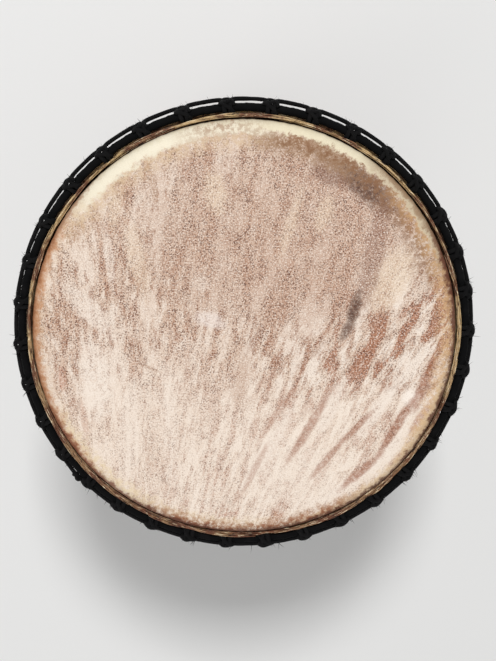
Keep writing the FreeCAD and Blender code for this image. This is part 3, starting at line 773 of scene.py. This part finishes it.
def make_collar_strands():
    """Fibres and pleats of the trimmed hide: long strands that run round the collar and over one another."""
    rng = np.random.default_rng(21)
    tubes = []
    for _ in range(84):
        first, sweep = rng.uniform(0, TURN), rng.uniform(0.25, 0.85)
        inner, outer = rng.uniform(168.9, 170.4), rng.uniform(170.2, 172.6)
        low, high = rng.uniform(588.5, 591.0), rng.uniform(590.5, 593.2)
        rise = np.linspace(0, 1, 44)
        angle = first + sweep * rise
        goes_outwards = rng.choice([0.0, 1.0])
        share = smooth_step(0.1, 0.9, rise if goes_outwards else 1 - rise)
        radius = inner + (outer - inner) * share + 0.2 * np.sin(rise * rng.uniform(6, 16))
        height = low + (high - low) * share + 0.3 * np.sin(rise * rng.uniform(5, 12))
        path = spin(radius, angle, height)
        width = rng.uniform(0.35, 0.75) * np.sin(np.pi * np.clip(rise, 0.02, 0.98)) ** 0.4
        tubes.append(tube_mesh(path, width, 6))
    points, faces, _ = merged(tubes)
    add_piece("collar_fibres", points, faces, hide_edge())


# ---- ropes


def read_spline(route):
    """Points along the smooth quadratic spline whose control points are a route's points."""
    curve = bpy.data.curves.new("route", "CURVE")
    curve.dimensions = "3D"
    spline = curve.splines.new("NURBS")
    spline.points.add(len(route) - 1)
    for point, place in zip(spline.points, route):
        point.co = (*place, 1.0)
    spline.order_u = 3
    spline.use_endpoint_u = True
    spline.resolution_u = 12
    holder = bpy.data.objects.new("route", curve)
    mesh = bpy.data.meshes.new_from_object(holder)
    line = np.array([v.co for v in mesh.vertices], float)
    bpy.data.objects.remove(holder)
    bpy.data.meshes.remove(mesh)
    bpy.data.curves.remove(curve)
    return line


def evenly(line, step):
    """The same line with points a step apart."""
    way = np.concatenate([[0.0], np.linalg.norm(np.diff(line, axis=0), axis=1).cumsum()])
    count = max(4, int(way[-1] / step) + 1)
    at = np.linspace(0, way[-1], count)
    return np.stack([np.interp(at, way, line[:, i]) for i in range(3)], -1)


def tube_mesh(path, radius, sides):
    """A tube along a path, closed to a point at each end: its points, faces and uvs."""
    count = len(path)
    radius = np.broadcast_to(np.asarray(radius, float), (count,))
    tangent = np.gradient(path, axis=0)
    tangent /= np.linalg.norm(tangent, axis=1, keepdims=True)
    side = np.cross(tangent[0], (0.0, 0.0, 1.0))
    if np.linalg.norm(side) < 0.1:
        side = np.cross(tangent[0], (1.0, 0.0, 0.0))
    sides_at = np.empty_like(path)
    for i, way in enumerate(tangent):
        side = side - way * (side @ way)
        side /= np.linalg.norm(side)
        sides_at[i] = side
    other = np.cross(tangent, sides_at)
    turn = angles_round(sides)
    ring = sides_at[:, None] * np.cos(turn)[:, None] + other[:, None] * np.sin(turn)[:, None]
    rings = path[:, None] + ring * radius[:, None, None]
    rings = np.concatenate([np.repeat(path[None, :1], sides, 1), rings, np.repeat(path[None, -1:], sides, 1)])
    faces, uvs = grid_faces(count + 2, sides)
    length = np.linalg.norm(np.diff(path, axis=0), axis=1).sum()
    uvs[..., 1] *= length / (TURN * radius.max())
    return rings.reshape(-1, 3), faces, uvs


def around(radius, angle, height):
    """A point at an angle, in radians, about the drum's axis."""
    return radius * math.cos(angle), radius * math.sin(angle), height


def bowl_centres():
    """Centres (radius, height) of the arcs of the upper and lower bowl, and the angle where they meet."""
    bulge = math.asin((SHOULDER_HEIGHT - BELLY_HEIGHT) / BELLY_ARC)
    upper = (SHELL_RADIUS - BELLY_ARC, SHOULDER_HEIGHT)
    lower = (BELLY_RADIUS - BOWL_ARC * math.cos(bulge), BELLY_HEIGHT + BOWL_ARC * math.sin(bulge))
    return upper, lower, bulge


def on_bowl(angle, standoff):
    """A point off the lower bowl: angle below the horizontal of its arc, and distance off the wood."""
    _, (r, z), _ = bowl_centres()
    reach = BOWL_ARC + standoff
    return r + reach * math.cos(angle), z - reach * math.sin(angle)


def on_belly(height, standoff):
    """A point off the upper bowl, at a height on its arc."""
    (r, z), _, _ = bowl_centres()
    angle = math.asin((z - height) / BELLY_ARC)
    reach = BELLY_ARC + standoff
    return r + reach * math.cos(angle), z - reach * math.sin(angle)


def leaning(angle):
    """Unit radius-height directions: out at an angle below the horizontal, and up at right angles to it."""
    return (math.cos(angle), -math.sin(angle)), (math.sin(angle), math.cos(angle))


def bottom_loop():
    """Where the bottom ring's loops turn back, and the directions out of and up the wood there."""
    at = on_bowl(BOTTOM_LOOP_ANGLE, HOOK + ROPE_RADIUS + ROPE_CLEARANCE)
    return at, *leaning(BOTTOM_LOOP_ANGLE)


def cut_at_knot(route, share=0.5, outwards=0.0):
    """A closed route cut open a share of the way from its first point to its last, and the cut's place."""
    first, last = np.array(route[0]), np.array(route[-1])
    centre = first + (last - first) * share
    centre[:2] *= 1 + outwards / np.hypot(*centre[:2])
    return [tuple(centre), *route, tuple(centre)], centre


def crown_angles():
    """Where the crown ring's hitches are. They are hand-tied, and drift a little from even spacing."""
    even = angles_round(LOOP_COUNT)
    drift = HITCH_TURN + HITCH_DRIFT * np.cos(even - HITCH_DRIFT_FROM) + HITCH_SECOND_DRIFT * np.cos(2 * even)
    return even + np.radians(drift)


def bottom_angles():
    """Where the bottom ring's hitches are: half a pitch round from the even places of the crown's."""
    return angles_round(LOOP_COUNT) + TURN / LOOP_COUNT / 2


def cradle_route(ring, angles, out, towards, span, loop, knot):
    """A cradle rope's route, as the CAD has it, and a point near each span's ends to keep it straight."""
    ring, out, towards = np.array(ring), np.array(out), np.array(towards)
    to_loop = loop - ring
    span_drop, span_sway = span
    route = []
    for middle in angles:
        drop = span_drop + span_sway * math.sin(middle)
        half_hitch = [
            # across the hitch, out from the ring, towards the loop
            (HITCH_OUTER + 4.0, WRAP + 0.9, drop),
            (HITCH_OUTER, WRAP, drop * 0.85),
            (HITCH_OUTER, WRAP, -WRAP),
            (HITCH_INNER, -WRAP, -WRAP),
            (HITCH_INNER, -WRAP, WRAP),
            (HITCH_INNER, 1.2, WRAP),
            (LOOP_HALF_WIDTH, to_loop @ out, to_loop @ towards),
        ]
        for side, points in ((-1, half_hitch), (1, half_hitch[::-1])):
            for across, x, y in points:
                r, z = ring + x * out + y * towards
                route.append(around(r, middle + side * across / ring[0], z))
    return cut_at_knot(route, *knot)


def tension_route():
    """The lacing's route, as the CAD has it: through a crown loop, down, through a bottom loop, and up."""
    crown_r, crown_z = CROWN_LOOP
    low, out, up = (np.array(part) for part in bottom_loop())
    _, _, bulge = bowl_centres()

    stations = [
        # share of the way round from top to bottom, and place on the bowl
        (0.12, on_belly, 528.0),
        (0.32, on_belly, 492.0),
        (0.52, on_bowl, bulge),
        (0.68, on_bowl, math.radians(26)),
        (0.82, on_bowl, math.radians(35)),
        (0.92, on_bowl, math.radians(42)),
    ]
    front_leg = (ROPE_STANDOFF,) * 4 + FRONT_ENDS
    back_leg = (ROPE_STANDOFF,) * 4 + BACK_ENDS
    knotted_leg = (ROPE_STANDOFF,) + (KNOT_STANDOFF,) * 3 + BACK_ENDS
    front = low + HOOK * (FRONT_REACH * out - up)
    back = low - HOOK * (out + up)

    def leg(top_angle, bottom_angle, standoffs):
        """The route down the bowl from the top, off the wood by a standoff at each station."""
        route = []
        for (share, place, at), standoff in zip(stations, standoffs):
            r, z = place(at, standoff)
            route.append(around(r, top_angle + (bottom_angle - top_angle) * share, z))
        return route

    tops = np.append(crown_angles(), crown_angles()[0] + TURN)
    route = []
    for k, bottom in enumerate(bottom_angles()):
        top, after = tops[k], tops[k + 1]
        last = k == LOOP_COUNT - 1
        for r, z in ((-HOOK, HOOK), (HOOK, HOOK), (HOOK, -HOOK)):
            route.append(around(crown_r + r, top, crown_z + z))
        route += leg(top, bottom, front_leg)
        route.append(around(front[0], bottom, front[1]))
        route.append(around(back[0], bottom, back[1]))
        route += leg(after, bottom, knotted_leg if last else back_leg)[::-1]
    return cut_at_knot(route[-2:] + route[:-2])


def knot_path(centre, size):
    """A trefoil, drawn tight, flat against the wood behind it."""
    turn = np.linspace(0, TURN, 90)
    outward_way = np.array([centre[0], centre[1], 0.0])
    outward_way /= np.linalg.norm(outward_way)
    across = np.cross((0.0, 0.0, 1.0), outward_way)
    flat_u = np.sin(turn) + 2 * np.sin(2 * turn)
    flat_v = np.cos(turn) - 2 * np.cos(2 * turn)
    deep = -np.sin(3 * turn)
    axes = np.array([across, (0.0, 0.0, 1.0), outward_way])
    return centre + np.stack([flat_u, flat_v, deep], -1) @ axes * size


def make_ropes(rope_look):
    """Both cradle ropes, the tension rope, and the knot that closes each."""
    low_loop, _, _ = bottom_loop()
    ropes = {
        "crown_cradle": cradle_route(
            (CROWN_RADIUS, CROWN_HEIGHT),
            np.roll(crown_angles(), -CROWN_KNOT_HITCH),
            (1.0, 0.0),
            (0.0, -1.0),
            CROWN_SPAN,
            CROWN_LOOP,
            CROWN_KNOT,
        ),
        "bottom_cradle": cradle_route(
            (BOTTOM_RADIUS, BOTTOM_HEIGHT),
            bottom_angles(),
            *leaning(BOTTOM_LEAN_ANGLE),
            BOTTOM_SPAN,
            low_loop,
            BOTTOM_KNOT,
        ),
        "tension": tension_route(),
    }
    rng = np.random.default_rng(31)
    for name, (route, knot) in ropes.items():
        path = evenly(read_spline(route), 1.6)
        uneven = rng.normal(0, 1, len(path))
        uneven = np.convolve(uneven, np.ones(9) / 9, "same") * 0.12
        points, faces, uvs = tube_mesh(path, ROPE_RADIUS * (1 + uneven), 10)
        rope = add_piece(f"{name}_braid", points, faces, rope_look, uvs)
        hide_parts(f"{name}_rope")
        points, faces, uvs = tube_mesh(knot_path(knot, 1.15), 1.5, 12)
        tied = add_piece(f"{name}_knot_tied", points, faces, rope_look, uvs)
        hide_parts(f"{name}_knot")


# The points of each strand over a hitch, in millimetres: across the hitch, out from the ring, up.
HITCH_BARS = [
    [
        (-5.6, 2.2, 4.4), (-4.4, 4.4, 4.0), (-2.0, 6.3, 1.6),
        (2.0, 6.3, -1.6), (4.4, 4.4, -4.0), (5.0, 2.0, -4.6),
    ],
    [
        (5.6, 3.4, 3.4), (4.2, 4.4, 4.2), (1.6, 3.0, 6.2),
        (-1.6, 0.6, 6.4), (-4.2, -2.6, 4.6), (-5.0, -3.6, 2.4),
    ],
    [
        (-5.4, 4.6, 1.4), (-3.6, 5.6, 2.4), (-1.0, 5.4, 4.6),
        (1.6, 4.6, 5.2), (4.4, 4.6, 2.4), (5.2, 3.6, 0.4),
    ],
]


def make_hitch_bars(rope_look):
    """The strands that cross the front and top of each hitch on the crown ring, over its two turns."""
    tubes = []
    rng = np.random.default_rng(41)
    for middle in crown_angles():
        for bar in HITCH_BARS:
            loose = rng.uniform(-0.35, 0.35, (len(bar), 3))
            route = [
                around(CROWN_RADIUS + x, middle + a / CROWN_RADIUS, CROWN_HEIGHT + z)
                for a, x, z in np.array(bar) + loose
            ]
            tubes.append(tube_mesh(evenly(read_spline(route), 0.9), 1.55, 10))
    points, faces, uvs = merged(tubes)
    add_piece("crown_hitch_bars", points, faces, rope_look, uvs)


def make_fray(rope_look):
    """Broken fibres that stand out of the rope at each hitch."""
    rng = np.random.default_rng(51)
    tubes = []
    for middle in crown_angles():
        for _ in range(34):
            angle = middle + rng.normal(0, 4.0) / CROWN_RADIUS
            tilt = rng.uniform(-0.9, 1.2)
            foot = around(CROWN_RADIUS + 6.0 * math.cos(tilt), angle, CROWN_HEIGHT + 6.0 * math.sin(tilt))
            length = rng.uniform(0.9, 2.6)
            way = np.array([math.cos(angle), math.sin(angle), 0.0]) * math.cos(tilt)
            way[2] = math.sin(tilt)
            way += rng.normal(0, 0.55, 3)
            bend = rng.normal(0, 0.5, 3)
            share = np.linspace(0, 1, 4)[:, None]
            path = np.array(foot) + length * (way * share + bend * share**2)
            tubes.append(tube_mesh(path, 0.24 * (1.15 - share[:, 0]), 3))
    points, faces, _ = merged(tubes)
    add_piece("crown_rope_fray", points, faces, rope_look)


# ---- rings


def make_binding(ring, radius, height, wraps, look):
    """The cloth strip wound round a ring: each wrap lies over the edge of the one before."""
    columns, rows = wraps * 12, 18
    angles = angles_round(columns)
    turn = angles_round(rows)[:, None]
    phase = (angles * wraps / TURN + turn / TURN) % 1.0
    ridge = 0.42 * phase - 0.3 * smooth_step(0.9, 1.0, phase)
    rumple = 0.1 * np.sin(angles * 311 + 3 * turn) * np.sin(angles * 57 + turn)
    tube = RING_TUBE + ridge + rumple
    points = spin(radius + tube * np.cos(turn), angles, height + tube * np.sin(turn))
    faces, _ = grid_faces(rows, columns, wrap_rows=True)
    piece = add_piece(f"{ring}_ring_wrapped", points, faces, look)
    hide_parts(f"{ring}_ring_binding")


# ---- setting


def make_camera():
    """The camera looks down on the head from 1.28 m, a little from the +Y side."""
    tilt, yaw, distance = math.radians(13.169), math.radians(-1.1155), 1.28
    target = Vector((0.0029, -0.0008, 0.585))
    back = Vector((math.sin(yaw) * math.cos(tilt), math.sin(tilt), math.cos(tilt) * math.cos(yaw)))
    right = Vector((0.0, 1.0, 0.0)).cross(back).normalized()
    data = bpy.data.cameras.new("camera")
    data.sensor_fit = "HORIZONTAL"
    data.sensor_width = 36.0
    data.lens = 116.3
    data.clip_start = 0.01
    camera = bpy.data.objects.new("camera", data)
    turned = Matrix((right, back.cross(right), back)).transposed().to_4x4()
    camera.matrix_world = Matrix.Translation(target + back * distance) @ turned
    link(camera)
    bpy.context.scene.camera = camera


def add_light(name, place, aim, size, power):
    """A soft, square area light that shines from place towards aim."""
    data = bpy.data.lights.new(name, "AREA")
    data.size = size
    data.energy = power
    light = bpy.data.objects.new(name, data)
    light.location = place
    light.rotation_euler = (Vector(aim) - Vector(place)).to_track_quat("-Z", "Y").to_euler()
    link(light)


def make_setting():
    """A plain pale floor, soft light from the +Y side and above, and a pale surrounding."""
    mesh = bpy.data.meshes.new("floor")
    half = 6.0
    corners = [(-half, -half, 0), (half, -half, 0), (half, half, 0), (-half, half, 0)]
    mesh.from_pydata(corners, [], [(0, 1, 2, 3)])
    s = Shader("pale_floor")
    mesh.materials.append(s.finish((236, 236, 235), 0.6))
    floor = bpy.data.objects.new("floor", mesh)
    link(floor)
    add_light("key", place=(0.0, 2.0, 4.3), aim=(0.0, 0.0, 0.4), size=0.55, power=124.0)
    add_light("fill", place=(-1.8, -1.6, 1.4), aim=(0.0, 0.0, 0.3), size=1.6, power=9.0)
    world = bpy.data.worlds.new("pale")
    world.use_nodes = True
    around_all = world.node_tree.nodes["Background"]
    around_all.inputs["Color"].default_value = (1.0, 1.0, 1.0, 1.0)
    around_all.inputs["Strength"].default_value = 0.43
    bpy.context.scene.world = world
    bpy.context.scene.view_settings.view_transform = "Standard"


def main():
    make_camera()
    make_setting()
    make_shell()
    make_head()
    make_collar_strands()
    rope_look = black_rope()
    make_ropes(rope_look)
    make_hitch_bars(rope_look)
    make_fray(rope_look)
    cloth, steel = black_cloth(), steel_rod()
    rings = {
        # radius, height, turns of the cloth strip
        "flesh": (FLESH_RADIUS, FLESH_HEIGHT, 88),
        "crown": (CROWN_RADIUS, CROWN_HEIGHT, 92),
        "bottom": (BOTTOM_RADIUS, BOTTOM_HEIGHT, 46),
    }
    for ring, (radius, height, wraps) in rings.items():
        make_binding(ring, radius, height, wraps, cloth)
        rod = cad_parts[f"{ring}_ring"]
        rod.data.materials.clear()
        rod.data.materials.append(steel)


main()
